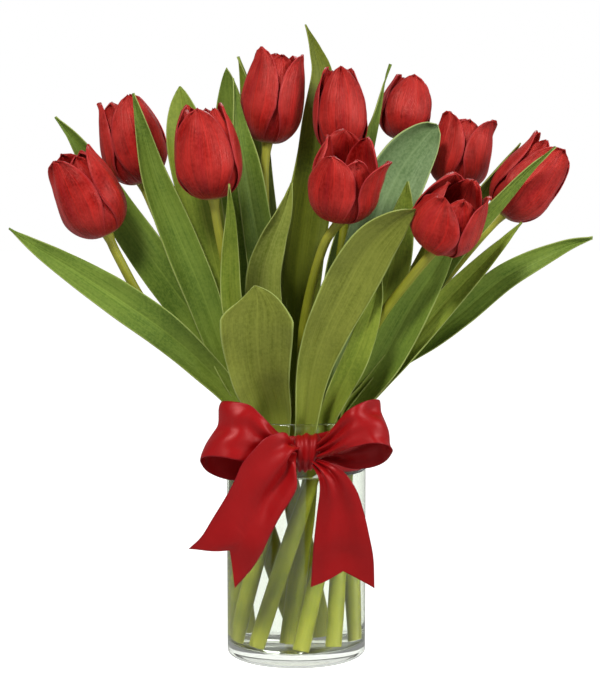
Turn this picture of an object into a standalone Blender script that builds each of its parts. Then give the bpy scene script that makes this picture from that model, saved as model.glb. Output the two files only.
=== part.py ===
"""Ten tulips with their leaves in a clear glass cylinder vase, tied at the rim with a satin ribbon bow.

Metres, +Z up, the front of the bow towards -Y. The origin is the centre of the vase's flat underside.
Routes are lists of hand-set points in millimetres; stems run from the foot up, leaves from the base to the tip.
"""

import math

import bmesh
import bpy
from mathutils import Matrix, Vector

MM = 0.001
GAP = 0.0003

VASE_RADIUS = 0.050
VASE_HEIGHT = 0.173
VASE_WALL = 0.003
VASE_FLOOR = 0.009
VASE_EDGE = 0.0012
VASE_STEPS = 32
WATER_LEVEL = 0.134

STEM_RADIUS = 0.0039
STEM_TOP = 0.82
STEM_FOOT = 1.45
SHEATH_LOW = 0.100
SHEATH_HIGH = 0.145
STEM_POINTS = 13
FOOT_HEIGHT = VASE_FLOOR + 0.0018

LEAF_THICK = 0.0011
LEAF_ROWS = 12
LEAF_COLUMNS = 4
LEAF_CUP = 0.16
LEAF_TIP = 0.0007

BLOSSOM_STEPS = 12
BLOSSOM_WALL = 0.0018
PETAL_THICK = 0.0009
PETAL_ROWS = 6
PETAL_COLUMNS = 4

RIBBON_THICK = 0.0008
LOOP_ROWS = 18
TAIL_ROWS = 12
KNOT = (0.007, -0.0595, 0.155)
BAND_LOW = 0.137
BAND_HIGH = 0.171

FRONT = (0, -1, 0)

# Each stem: its foot in the vase, its seat in the neck, and the places that it passes above it.
STEMS = {
    "stem_1": [(-22, 34, 0), (-41, -6, 178), (-82, -12, 232), (-106, -18, 254), (-124, -20, 286),
               (-132, -22, 304)],
    "stem_2": [(2, 36, 0), (-36, 10, 178), (-66, 14, 241), (-91, 17, 294), (-111, 20, 339)],
    "stem_3": [(-36, 14, 0), (-22, -17, 178), (-42, -26, 251), (-53, -34, 303), (-57, -36, 329)],
    "stem_4": [(12, 18, 0), (-10, 14, 178), (-20, 20, 269), (-23, 24, 337), (-21, 26, 368)],
    "stem_5": [(-4, -10, 0), (13, 2, 178), (28, 6, 263), (35, 12, 315), (32, 18, 360)],
    "stem_6": [(-37, -9, 0), (-1, -22, 178), (6, -34, 245), (18, -46, 294), (30, -53, 314)],
    "stem_7": [(36, -8, 0), (19, 24, 178), (36, 34, 246), (60, 47, 311), (76, 57, 371)],
    "stem_8": [(24, -27, 0), (31, 12, 178), (61, 20, 233), (94, 34, 290), (115, 43, 335)],
    "stem_9": [(-26, -28, 0), (25, -22, 178), (55, -40, 241), (78, -50, 274), (96, -57, 296)],
    "stem_10": [(3, -38, 0), (40, -8, 178), (88, -10, 248), (123, -6, 292), (146, -2, 317)],
}

# The blossoms that are still shut: the direction they point, their length and their greatest width.
SHUT_BLOSSOMS = {
    "blossom_1": ("stem_1", (-0.42, -0.12, 0.90), 62, 47),
    "blossom_2": ("stem_2", (-0.25, 0.00, 0.97), 63, 47),
    "blossom_3": ("stem_3", (-0.12, -0.06, 0.99), 64, 47),
    "blossom_4": ("stem_4", (0.14, 0.02, 0.99), 66, 45),
    "blossom_5": ("stem_5", (-0.02, 0.02, 1.00), 62, 37),
    "blossom_7": ("stem_7", (0.16, 0.08, 0.98), 46, 38),
    "blossom_8": ("stem_8", (0.22, 0.05, 0.97), 54, 45),
    "blossom_10": ("stem_10", (0.62, 0.00, 0.78), 62, 45),
}

# The two open blossoms: direction, petal length, radius at the belly, and how far each petal leans out.
OPEN_BLOSSOMS = {
    "blossom_6": ("stem_6", (0.10, -0.22, 0.97), 56, 24, (0.1, 0.35, 0.1, 0.2, 0.1, 0.2)),
    "blossom_9": ("stem_9", (0.30, -0.45, 0.84), 46, 22, (0.15, 0.35, 0.1, 0.3, 0.15, 0.3)),
}

# Each leaf: its route from base to tip, its greatest width, and how its face looks at the base and the tip.
LEAVES = {
    "leaf_1": ([(-33, -15, 150), (-38, -19, 178), (-64, -19, 209), (-92, -25, 236), (-123, -29, 258),
            (-152, -31, 277), (-178, -32, 293), (-199, -33, 308)], 27, (-0.3, -1, 0.2), (-0.2, -1, 0.5)),
    "leaf_2": ([(-34, 9, 150), (-41, 5, 178), (-58, 5, 216), (-76, 5, 245), (-103, 5, 283),
            (-124, 10, 313), (-143, 10, 345), (-158, 6, 369), (-171, 2, 385)],
            29, (-0.4, -1, 0), (0.3, -1, 0.2)),
    "leaf_3": ([(-28, -5, 150), (-32, -12, 178), (-53, -14, 224), (-67, -13, 263), (-81, -10, 297),
            (-99, -6, 341), (-108, -4, 376), (-114, -4, 402)], 26, (-0.3, -1, 0), (0.3, -1, 0)),
    "leaf_4": ([(-23, 1, 150), (-26, -4, 178), (-44, -4, 228), (-57, -3, 277), (-66, -2, 316),
            (-75, 0, 362), (-80, 2, 390), (-82, 4, 407)], 32, (-0.3, -1, 0), FRONT),
    "leaf_5": ([(-15, 22, 150), (-21, 24, 178), (-33, 36, 262), (-40, 42, 327), (-45, 44, 369),
            (-49, 45, 405), (-51, 45, 422)], 33, (-0.6, -1, 0), (-0.4, -1, 0)),
    "leaf_6": ([(-12, 5, 150), (-14, 3, 178), (-21, 6, 235), (-25, 8, 287), (-33, 9, 333),
            (-40, 10, 373), (-45, 10, 413)], 25, (0.3, -1, 0), (0.6, -1, 0)),
    "leaf_7": ([(-5, 28, 150), (-12, 30, 178), (-20, 45, 290), (-28, 55, 356), (-36, 57, 409),
            (-42, 57, 431)], 29, (-0.5, -1, 0), (-1, -1, 0)),
    "leaf_8": ([(-28, -24, 150), (-32, -28, 178), (-39, -32, 223), (-45, -36, 258), (-46, -41, 287),
            (-45, -50, 314), (-45, -58, 339)], 15, FRONT, FRONT),
    "leaf_9": ([(-13, -3, 150), (-14, -5, 178), (-21, -8, 236), (-23, -9, 271), (-17, -10, 296),
            (-9, -10, 317), (-3, -8, 339)], 27, FRONT, (0.2, -1, 0.2)),
    "leaf_10": ([(-16, -27, 150), (-17, -29, 176), (-25, -46, 208), (-27, -57, 238), (-27, -61, 258),
            (-29, -62, 270)], 50, FRONT, FRONT),
    "leaf_11": ([(7, 26, 150), (1, 30, 178), (0, 34, 254), (7, 40, 312), (15, 46, 362), (19, 52, 413),
            (14, 54, 435), (7, 54, 454)], 38, (0.4, -1, 0), (0.6, -1, 0)),
    "leaf_12": ([(13, 10, 150), (12, 14, 178), (28, 22, 262), (42, 32, 326), (55, 38, 377),
            (63, 42, 405), (70, 42, 424)], 33, (0.5, -1, 0), (1, -1, 0)),
    "leaf_13": ([(24, 27, 150), (22, 36, 178), (46, 59, 258), (66, 75, 324), (84, 81, 362),
            (82, 84, 384), (72, 86, 403)], 33, (0.8, -1, 0), (0.7, -1, 0)),
    "leaf_14": ([(18, -8, 150), (22, -5, 178), (36, -7, 241), (54, -2, 298), (66, 4, 330), (78, 10, 352),
            (92, 14, 370), (101, 14, 380)], 42, FRONT, (0.5, -1, 0.6)),
    "leaf_15": ([(4, -38, 150), (10, -45, 204), (20, -52, 236), (35, -60, 269), (49, -66, 296),
            (66, -72, 313), (80, -76, 322)], 37, FRONT, (0.2, -1, -0.4)),
    "leaf_16": ([(18, -34, 150), (22, -34, 176), (31, -43, 199), (44, -48, 228), (54, -49, 259),
            (58, -48, 281)], 19, FRONT, FRONT),
    "leaf_17": ([(28, -23, 150), (36, -18, 178), (45, -18, 191), (62, -24, 219), (80, -29, 251),
            (100, -34, 285), (112, -38, 308)], 29, FRONT, FRONT),
    "leaf_18": ([(23, -14, 150), (29, -12, 178), (84, -16, 249), (113, -18, 292), (141, -28, 325),
            (161, -32, 348), (179, -34, 364)], 15, FRONT, FRONT),
    "leaf_19": ([(38, 1, 150), (40, 6, 178), (82, 9, 252), (115, 13, 306), (136, 14, 334),
            (151, 16, 354), (161, 16, 367)], 20, (0.4, -1, 0), (0.9, -1, 0)),
    "leaf_20": ([(36, -5, 150), (41, 0, 178), (64, 2, 207), (96, 0, 230), (117, -3, 247), (149, -3, 273),
            (188, -4, 293), (210, -4, 300)], 20, FRONT, (0, -1, 0.4)),
    "leaf_21": ([(33, -19, 150), (39, -15, 178), (52, -15, 193), (77, -20, 223), (107, -23, 258),
            (137, -25, 290), (157, -26, 312)], 19, FRONT, (0, -1, 0.3)),
    "leaf_22": ([(20, -11, 150), (21, -9.5, 178), (38, -10, 205), (54, -12, 238), (64, -13, 263),
            (73, -14, 304), (77, -14, 326), (79, -14, 340)], 24, FRONT, FRONT),
}
LEAF_BASE = {"leaf_10": 16, "leaf_15": 13, "leaf_22": 6}
LEAF_BASE_WIDTH = 8
LEAF_PEAK = {"leaf_10": 0.82, "leaf_14": 0.74, "leaf_15": 0.68, "leaf_5": 0.62, "leaf_7": 0.6,
             "leaf_12": 0.34, "leaf_22": 0.7, "leaf_4": 0.78, "leaf_19": 0.66, "leaf_20": 0.62}
LEAF_PEAK_AT = 0.48
LEAF_BLUNT = {"leaf_10": 0.9, "leaf_14": 0.55, "leaf_5": 0.7, "leaf_15": 0.8, "leaf_12": 1.6, "leaf_4": 0.8}

# How soon a leaf narrows past its widest place: a low number gives straight shoulders.
LEAF_FALL = {"leaf_10": 1.3}
LEAF_FALL_PLAIN = 2.2

# The bow, by the two edges of its ribbon. A loop runs from the back of the knot out, round its fold and back to the
# knot's front; a tail runs from the knot down to its cut end, which has a notch of the last number's depth.
LOOPS = {
    "ribbon_loop_left": (
        [(-7, -57, 147), (-21, -58, 139), (-39, -59, 136), (-52, -61, 138), (-62, -66, 144), (-65, -74, 152),
         (-60, -82, 156), (-48, -87, 156), (-34, -85, 153), (-18, -79, 151), (-6, -70, 151)],
        [(-7, -57, 160), (-23, -59, 169), (-38, -61, 178), (-47, -65, 187), (-49, -71, 191), (-42, -79, 193),
         (-31, -83, 191), (-22, -82, 183), (-13, -76, 173), (-6, -70, 163)]),
    "ribbon_loop_right": (
        [(21, -57, 149), (27, -58, 147), (38, -60, 144), (51, -62, 145), (61, -67, 150), (66, -77, 159),
         (61, -84, 164), (51, -88, 166), (38, -86, 163), (28, -79, 158), (20, -70, 152)],
        [(21, -57, 160), (28, -58, 168), (39, -59, 176), (51, -60, 185), (57, -63, 190), (54, -70, 193),
         (44, -79, 192), (34, -80, 186), (25, -76, 175), (20, -70, 164)]),
}
TAILS = {
    "ribbon_tail_left": (
        [(-4, -74, 165), (-9, -82, 172), (-20, -89, 170), (-29, -91, 161), (-36, -91, 152), (-41, -91, 141),
         (-48, -90, 128), (-56, -88, 114), (-64, -85, 101), (-73, -81, 92)],
        [(-1, -72, 156), (-2, -79, 149), (0, -81, 141), (0, -80, 134), (-5, -80, 125), (-11, -80, 116),
         (-17, -79, 104), (-23, -77, 90), (-31, -75, 76), (-42, -72, 63)], 19),
    "ribbon_tail_right": (
        [(11, -71, 145), (15, -77, 140), (16, -78, 132), (14, -76, 115), (12, -72, 93), (10, -66, 62)],
        [(17, -70, 150), (25, -79, 148), (34, -82, 143), (41, -82, 133), (46, -79, 117), (50, -76, 100),
         (53, -72, 83), (54, -67, 61)], 13),
}
NOTCH_FROM = 0.7

COLOURS = {
    "glass": ((0.86, 0.92, 0.90, 1), 0.05),
    "water": ((0.90, 0.95, 0.93, 1), 0.02),
    "stem": ((0.30, 0.38, 0.06, 1), 0.5),
    "leaf": ((0.13, 0.26, 0.05, 1), 0.5),
    "petal": ((0.42, 0.01, 0.015, 1), 0.45),
    "satin": ((0.50, 0.005, 0.02, 1), 0.3),
}


def clear_scene():
    for item in list(bpy.data.objects):
        bpy.data.objects.remove(item, do_unlink=True)


def material(kind):
    """The Principled material of one kind of piece, made the first time it is asked for."""
    found = bpy.data.materials.get(kind)
    if found:
        return found
    colour, roughness = COLOURS[kind]
    made = bpy.data.materials.new(kind)
    made.use_nodes = True
    shader = made.node_tree.nodes["Principled BSDF"]
    shader.inputs["Base Color"].default_value = colour
    shader.inputs["Roughness"].default_value = roughness
    shader.inputs["Metallic"].default_value = 0.0
    return made


def add_mesh(name, shape, kind):
    """Turns a bmesh into a named, smooth-shaded object."""
    mesh = bpy.data.meshes.new(name)
    shape.to_mesh(mesh)
    shape.free()
    mesh.shade_smooth()
    mesh.set_sharp_from_angle(angle=math.radians(40))
    piece = bpy.data.objects.new(name, mesh)
    bpy.context.scene.collection.objects.link(piece)
    mesh.materials.append(material(kind))
    return piece


def thicken(piece, thickness):
    """Gives a thin blade or ribbon its thickness, half to each side."""
    wall = piece.modifiers.new("Thickness", "SOLIDIFY")
    wall.thickness = thickness
    wall.offset = 0.0
    wall.use_even_offset = False


def turned(profile, steps):
    """A closed body of revolution about Z from a profile of (radius, height), which starts and ends on the axis."""
    shape = bmesh.new()
    points = [shape.verts.new((radius, 0, height)) for radius, height in profile]
    edges = [shape.edges.new(pair) for pair in zip(points, points[1:])]
    bmesh.ops.spin(shape, geom=points + edges, axis=(0, 0, 1), cent=(0, 0, 0), angle=math.tau, steps=steps,
                   use_merge=True)
    bmesh.ops.remove_doubles(shape, verts=shape.verts, dist=1e-6)
    bmesh.ops.recalc_face_normals(shape, faces=shape.faces)
    return shape


def catmull(a, b, c, d, t):
    """The point at t between b and c on the smooth curve through a, b, c and d."""
    return 0.5 * (2 * b + (c - a) * t + (2 * a - 5 * b + 4 * c - d) * t**2 + (3 * b - a - 3 * c + d) * t**3)


def smooth_route(points, count):
    """count + 1 evenly spaced points on the smooth curve through a route given in millimetres."""
    knots = [Vector(point) * MM for point in points]
    knots = [2 * knots[0] - knots[1], *knots, 2 * knots[-1] - knots[-2]]
    fine = 16
    dense = [catmull(*knots[i:i + 4], step / fine) for i in range(len(knots) - 3) for step in range(fine)]
    dense.append(knots[-2])
    reach = [0.0]
    for start, end in zip(dense, dense[1:]):
        reach.append(reach[-1] + (end - start).length)
    even = []
    place = 0
    for i in range(count + 1):
        want = reach[-1] * i / count
        while place < len(dense) - 2 and reach[place + 1] < want:
            place += 1
        share = (want - reach[place]) / (reach[place + 1] - reach[place])
        even.append(dense[place].lerp(dense[place + 1], share))
    return even


def direction(spine, i):
    """The unit tangent of a spine at one of its points."""
    return (spine[min(i + 1, len(spine) - 1)] - spine[max(i - 1, 0)]).normalized()


def swept_grid(rows, columns, place):
    """An open sheet of rows by columns, with place(row, across) giving each point; across runs from -1 to 1."""
    shape = bmesh.new()
    bmesh.ops.create_grid(shape, x_segments=columns, y_segments=rows, size=1.0)
    for vert in shape.verts:
        vert.co = place(round((vert.co.y + 1) / 2 * rows), vert.co.x)
    bmesh.ops.recalc_face_normals(shape, faces=shape.faces)
    return shape


def tube(name, places, radii):
    """A round tube through the places, closed at both ends, as a mesh."""
    curve = bpy.data.curves.new(name, "CURVE")
    curve.dimensions = "3D"
    curve.bevel_depth = 1.0
    curve.bevel_resolution = 2
    curve.use_fill_caps = True
    line = curve.splines.new("POLY")
    line.points.add(len(places) - 1)
    for point, place, radius in zip(line.points, places, radii):
        point.co = (*place, 1)
        point.radius = radius
    guide = bpy.data.objects.new(name, curve)
    shape = bmesh.new()
    shape.from_mesh(guide.to_mesh())
    bpy.data.objects.remove(guide, do_unlink=True)
    bmesh.ops.remove_doubles(shape, verts=shape.verts, dist=1e-6)
    bmesh.ops.recalc_face_normals(shape, faces=shape.faces)
    return shape


def stem_spine(points):
    """The middle line of a stem, from its foot on the vase's floor to under its blossom."""
    foot, *above = points
    return smooth_route([(foot[0], foot[1], FOOT_HEIGHT / MM), *above], STEM_POINTS - 1)


def stem_radii(spine):
    """The radius at each point: thick where the cut leaves sheathe the foot, thinner towards the blossom."""
    radii = []
    for i, point in enumerate(spine):
        bare = min(1.0, max(0.0, (point.z - SHEATH_LOW) / (SHEATH_HIGH - SHEATH_LOW)))
        taper = 1 + (STEM_TOP - 1) * i / (len(spine) - 1)
        radii.append(STEM_RADIUS * taper * (STEM_FOOT + (1 - STEM_FOOT) * bare))
    return radii


def stem(name, points):
    """A round stem from its foot in the vase to under its blossom."""
    spine = stem_spine(points)
    return add_mesh(name, tube(name, spine, stem_radii(spine)), "stem")


def leaf_width(along, base, widest, peak, blunt, fall_power):
    """A leaf's half width at a share of its length: it widens to the peak and narrows to its tip."""
    if along < peak:
        rise = along / peak
        return (base + (widest - base) * rise * rise * (3 - 2 * rise)) / 2
    fall = (along - peak) / (1 - peak)
    return widest * (1 - fall**fall_power) ** blunt / 2


def leaf(name, route, widest, face_base, face_tip):
    """A long leaf, hollowed a little along its middle."""
    spine = smooth_route(route, LEAF_ROWS)
    base = LEAF_BASE.get(name, LEAF_BASE_WIDTH) * MM
    peak = LEAF_PEAK.get(name, LEAF_PEAK_AT)
    blunt = LEAF_BLUNT.get(name, 1.0)
    fall_power = LEAF_FALL.get(name, LEAF_FALL_PLAIN)

    def place(row, across):
        along = row / LEAF_ROWS
        ahead = direction(spine, row)
        face = Vector(face_base).lerp(Vector(face_tip), along)
        face = (face - ahead * face.dot(ahead)).normalized()
        half = max(leaf_width(along, base, widest * MM, peak, blunt, fall_power), LEAF_TIP)
        lift = half * LEAF_CUP * 2 * across * across
        return spine[row] + ahead.cross(face) * half * across + face * lift

    piece = add_mesh(name, swept_grid(LEAF_ROWS, LEAF_COLUMNS, place), "leaf")
    thicken(piece, LEAF_THICK)
    return piece


def stand_on(shape, base, axis):
    """Turns a shape made about Z so that it points along axis, and sets it on base."""
    turn = Vector((0, 0, 1)).rotation_difference(Vector(axis)).to_matrix().to_4x4()
    bmesh.ops.transform(shape, matrix=Matrix.Translation(base) @ turn, verts=shape.verts)


def stem_top(name, axis):
    """Where the blossom on this stem starts, a small gap past the stem's end."""
    return Vector(STEMS[name][-1]) * MM + Vector(axis).normalized() * GAP * 3


# (share of the greatest radius, share of the length) up the outside of a shut blossom
SHUT_OUTLINE = [(0.22, 0.0), (0.62, 0.07), (0.93, 0.24), (1.0, 0.42), (0.90, 0.66), (0.66, 0.86), (0.40, 0.97)]


def shut_blossom(name, stem_name, axis, length, width):
    """Petals that still hold together as one cup, open only between their three tips."""
    radius = width * MM / 2
    tall = length * MM
    outside = [(r * radius, h * tall) for r, h in SHUT_OUTLINE]
    inside = [(r - BLOSSOM_WALL, max(h, BLOSSOM_WALL)) for r, h in reversed(outside[1:])]
    shape = turned([(0, 0), *outside, *inside, (0, BLOSSOM_WALL * 1.5)], BLOSSOM_STEPS)
    for vert in shape.verts:
        share = vert.co.z / tall
        angle = math.atan2(vert.co.y, vert.co.x)
        vert.co.z += 0.07 * tall * share**4 * math.cos(3 * angle)
    stand_on(shape, stem_top(stem_name, axis), axis)
    return add_mesh(name, shape, "petal")


def petal(name, base, axis, length, belly, turn, lean, outer):
    """One petal of an open blossom: narrow where it is fixed, broad at the belly, blunt at the tip."""
    start = 4.2 * MM if outer else 2.4 * MM
    reach = belly * MM if outer else (belly - 2.2) * MM

    def place(row, across):
        along = row / PETAL_ROWS
        radius = start + (reach - start) * math.sin(math.pi / 2 * min(1.0, along * 1.7)) + lean * reach * along**3
        height = length * MM * (along**1.15 + 0.02)
        spread = 0.78 * math.sqrt(max(0.0, 1 - max(0.0, along - 0.55) ** 2 / 0.21)) * (0.6 + 0.4 * min(1, 3 * along))
        angle = turn + max(spread, 0.04) * across
        return Vector((radius * math.cos(angle), radius * math.sin(angle), height))

    shape = swept_grid(PETAL_ROWS, PETAL_COLUMNS, place)
    stand_on(shape, base, axis)
    piece = add_mesh(name, shape, "petal")
    thicken(piece, PETAL_THICK)
    return piece


def open_blossom(name, stem_name, axis, length, belly, leans):
    """Three inner and three outer petals round the stem's end."""
    for i, lean in enumerate(leans):
        outer = i % 2 == 1
        petal(f"{name}_petal_{i + 1}", stem_top(stem_name, axis), axis, length, belly, math.tau * (i - 0.5) / 6, lean,
              outer)


def vase():
    """A clear cylinder with a thick floor and softly rounded edges."""
    edge = VASE_EDGE
    inner = VASE_RADIUS - VASE_WALL
    profile = [
        (0, 0), (VASE_RADIUS - 2 * edge, 0), (VASE_RADIUS, 2 * edge),
        (VASE_RADIUS, VASE_HEIGHT - edge), (VASE_RADIUS - edge, VASE_HEIGHT), (inner + edge, VASE_HEIGHT),
        (inner, VASE_HEIGHT - edge), (inner, VASE_FLOOR + edge), (inner - edge, VASE_FLOOR), (0, VASE_FLOOR),
    ]
    return add_mesh("vase", turned(profile, VASE_STEPS), "glass")


def leg_cutter(points):
    """A cutter for the water: the wet leg of one stem, with a gap all round it."""
    spine = stem_spine(points)
    count = sum(point.z < WATER_LEVEL for point in spine) + 1
    under = spine[0] + (spine[0] - spine[1]) * 0.2
    radii = stem_radii(spine)
    wide = [radius + 1.3 * GAP for radius in (radii[0], *radii[:count])]
    cutter = add_mesh("leg", tube("leg", [under, *spine[:count]], wide), "stem")
    cutter.hide_render = True
    cutter.display_type = "WIRE"
    return cutter


def water():
    """The water round the stems' legs, kept a small gap off the glass and the stems."""
    radius = VASE_RADIUS - VASE_WALL - GAP
    low = VASE_FLOOR + GAP
    edge = 1.2 * VASE_EDGE
    profile = [(0, low), (radius - edge, low), (radius, low + edge), (radius, WATER_LEVEL), (0, WATER_LEVEL)]
    piece = add_mesh("water", turned(profile, VASE_STEPS), "water")
    for i, points in enumerate(STEMS.values()):
        cut = piece.modifiers.new(f"Leg {i + 1}", "BOOLEAN")
        cut.operation = "DIFFERENCE"
        cut.object = leg_cutter(points)
    return piece


def ribbon_strip(name, rows, first_edge, second_edge, notch=0):
    """A strip of ribbon between its two edges; the middle of its last rows is drawn up by the notch's depth."""
    one = smooth_route(first_edge, rows)
    two = smooth_route(second_edge, rows)
    end = (one[-1] - one[-2] + two[-1] - two[-2]).normalized()

    def place(row, across):
        drawn = notch * MM * (1 - abs(across)) * max(0.0, (row / rows - NOTCH_FROM) / (1 - NOTCH_FROM))
        return one[row].lerp(two[row], (across + 1) / 2) - end * drawn

    piece = add_mesh(name, swept_grid(rows, 2, place), "satin")
    thicken(piece, RIBBON_THICK)
    return piece


def ribbon_band():
    """The turn of ribbon round the vase."""
    inside = VASE_RADIUS + GAP
    outside = inside + RIBBON_THICK
    shape = bmesh.new()
    corners = [(inside, BAND_LOW), (outside, BAND_LOW), (outside, BAND_HIGH), (inside, BAND_HIGH)]
    points = [shape.verts.new((radius, 0, height)) for radius, height in corners]
    edges = [shape.edges.new((points[i], points[(i + 1) % 4])) for i in range(4)]
    bmesh.ops.spin(shape, geom=points + edges, axis=(0, 0, 1), cent=(0, 0, 0), angle=math.tau, steps=VASE_STEPS,
                   use_merge=True)
    bmesh.ops.remove_doubles(shape, verts=shape.verts, dist=1e-6)
    bmesh.ops.recalc_face_normals(shape, faces=shape.faces)
    return add_mesh("ribbon_band", shape, "satin")


def ribbon_knot():
    """The knot in the middle of the bow, a small flattened bead of ribbon."""
    outline = [(0, -13.5), (6, -12.5), (9.5, -7), (10.5, 0), (9.5, 7), (6, 12.5), (0, 13.5)]
    shape = turned([(radius * MM, height * MM) for radius, height in outline], 12)
    bmesh.ops.scale(shape, vec=(1.0, 0.72, 1.0), verts=shape.verts)
    bmesh.ops.translate(shape, vec=KNOT, verts=shape.verts)
    return add_mesh("ribbon_knot", shape, "satin")


def build():
    clear_scene()
    vase()
    water()
    for name, points in STEMS.items():
        stem(name, points)
    for name, values in LEAVES.items():
        leaf(name, *values)
    for name, values in SHUT_BLOSSOMS.items():
        shut_blossom(name, *values)
    for name, values in OPEN_BLOSSOMS.items():
        open_blossom(name, *values)
    ribbon_band()
    ribbon_knot()
    for name, values in LOOPS.items():
        ribbon_strip(name, LOOP_ROWS, *values)
    for name, values in TAILS.items():
        ribbon_strip(name, TAIL_ROWS, *values)


build()
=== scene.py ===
import math

import bmesh
import bpy
from mathutils import Matrix, Vector, noise


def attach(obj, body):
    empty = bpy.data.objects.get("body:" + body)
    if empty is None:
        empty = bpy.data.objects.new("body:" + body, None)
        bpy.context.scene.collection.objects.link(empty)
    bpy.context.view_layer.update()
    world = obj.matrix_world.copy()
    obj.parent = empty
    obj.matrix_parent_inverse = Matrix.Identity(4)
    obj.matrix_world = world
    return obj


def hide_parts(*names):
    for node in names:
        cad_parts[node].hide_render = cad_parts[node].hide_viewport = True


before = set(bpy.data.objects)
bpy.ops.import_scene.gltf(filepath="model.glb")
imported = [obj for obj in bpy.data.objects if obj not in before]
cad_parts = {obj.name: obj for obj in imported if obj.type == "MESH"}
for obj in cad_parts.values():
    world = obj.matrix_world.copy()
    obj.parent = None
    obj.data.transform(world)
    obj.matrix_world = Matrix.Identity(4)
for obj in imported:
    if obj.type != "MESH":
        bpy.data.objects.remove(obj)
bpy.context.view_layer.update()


# The studio. White paper lies under the vase and the surround is as white. A soft lamp stands at the upper
# left, a weaker one at the right, and one behind and above. The camera is level with the blossoms and looks
# slightly down.
CAMERA_PLACE = (0.0027, -1.300, 0.353)
CAMERA_DOWN = 5.85
LAMP_AIM = Vector((0, 0, 0.25))
PAPER_SIZE = 6.0
WHITE_SEEN = 1.0
WHITE_CAST = 0.25
PAPER_SEEN = 0.96
PAPER_CAST = 0.06

scene = bpy.context.scene
scene.view_settings.view_transform = "Standard"
scene.view_settings.look = "None"

camera_data = bpy.data.cameras.new("camera")
camera_data.lens = 93.9
camera_data.sensor_width = 36.0
camera_data.clip_start = 0.05
camera = bpy.data.objects.new("camera", camera_data)
camera.location = CAMERA_PLACE
camera.rotation_euler = (math.radians(90 - CAMERA_DOWN), 0, 0)
scene.collection.objects.link(camera)
scene.camera = camera


def add_node(tree, kind, **values):
    node = tree.nodes.new(kind)
    for key, value in values.items():
        setattr(node, key, value)
    return node


def maths(tree, operation, first, second=0.5, third=0.5):
    """The result of a Math node; each value may be a socket or a number."""
    node = add_node(tree, "ShaderNodeMath", operation=operation)
    for socket, value in zip(node.inputs, (first, second, third)):
        if hasattr(value, "links"):
            tree.links.new(value, socket)
        else:
            socket.default_value = value
    return node.outputs["Value"]


def off_a_surface(tree):
    """0 for what is seen straight on or through glass, 1 or more for light that comes off a surface."""
    path = add_node(tree, "ShaderNodeLightPath")
    one_bounce = maths(tree, "COMPARE", path.outputs["Glossy Depth"], 1.0, 0.5)
    mirrored = maths(tree, "MAXIMUM", one_bounce, path.outputs["Is Reflection Ray"])
    return maths(tree, "MAXIMUM", path.outputs["Diffuse Depth"], mirrored)


def white_strength(tree, seen, cast, socket):
    """Sets a strength: seen where the white itself is looked at, cast where it lights a surface."""
    share = add_node(tree, "ShaderNodeMapRange")
    share.inputs["To Min"].default_value = seen
    share.inputs["To Max"].default_value = cast
    tree.links.new(off_a_surface(tree), share.inputs["Value"])
    tree.links.new(share.outputs["Result"], socket)


world = bpy.data.worlds.new("paper_white")
world.use_nodes = True
sky = world.node_tree.nodes["Background"]
sky.inputs["Color"].default_value = (1.0, 1.0, 1.0, 1)
white_strength(world.node_tree, WHITE_SEEN, WHITE_CAST, sky.inputs["Strength"])
scene.world = world


def lamp(name, place, size, power, colour=(1, 1, 1)):
    light = bpy.data.lights.new(name, "AREA")
    light.shape = "DISK"
    light.size = size
    light.energy = power
    light.color = colour
    holder = bpy.data.objects.new(name, light)
    holder.location = place
    holder.rotation_euler = (LAMP_AIM - Vector(place)).to_track_quat("-Z", "Y").to_euler()
    scene.collection.objects.link(holder)


lamp("key_lamp", (-0.55, -1.3, 1.5), 0.4, 25, (1.0, 0.98, 0.94))
lamp("fill_lamp", (1.4, -0.8, 0.8), 0.6, 15)
lamp("back_lamp", (0.3, 1.2, 1.4), 0.9, 9)

sheet_of_paper = bmesh.new()
bmesh.ops.create_grid(sheet_of_paper, x_segments=1, y_segments=1, size=PAPER_SIZE)
floor_mesh = bpy.data.meshes.new("paper_floor")
sheet_of_paper.to_mesh(floor_mesh)
sheet_of_paper.free()
floor = bpy.data.objects.new("paper_floor", floor_mesh)
scene.collection.objects.link(floor)
paper = bpy.data.materials.new("white_paper")
paper.use_nodes = True
paper_shader = paper.node_tree.nodes["Principled BSDF"]
paper_shader.inputs["Base Color"].default_value = (0.35, 0.35, 0.35, 1)
paper_shader.inputs["Roughness"].default_value = 0.9
paper_shader.inputs["Specular IOR Level"].default_value = 0.1
paper_shader.inputs["Emission Color"].default_value = (1, 1, 1, 1)
white_strength(paper.node_tree, PAPER_SEEN, PAPER_CAST, paper_shader.inputs["Emission Strength"])
floor_mesh.materials.append(paper)


# The vase: one heavy-bottomed glass cylinder, blown and cut, its rim and foot softly rounded. Water fills
# it to two finger widths under the rim. Both are clear, so their shadows let the lamps through.
VASE_RADIUS = 0.050
VASE_HEIGHT = 0.173
VASE_WALL = 0.003
VASE_FLOOR = 0.009
VASE_INNER = VASE_RADIUS - VASE_WALL
FOOT_ROUND = 0.0028
LIP_ROUND = 0.00149
HOLLOW_ROUND = 0.0035
WATER_LEVEL = 0.134
WATER_BITE = 0.0002
GLASS_STEPS = 128
RING_GAP = 0.0012


def shader_tree(name):
    """A new material with its nodes, its links and its main shader."""
    made = bpy.data.materials.new(name)
    made.use_nodes = True
    tree = made.node_tree
    return made, tree, tree.nodes["Principled BSDF"]


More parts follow.
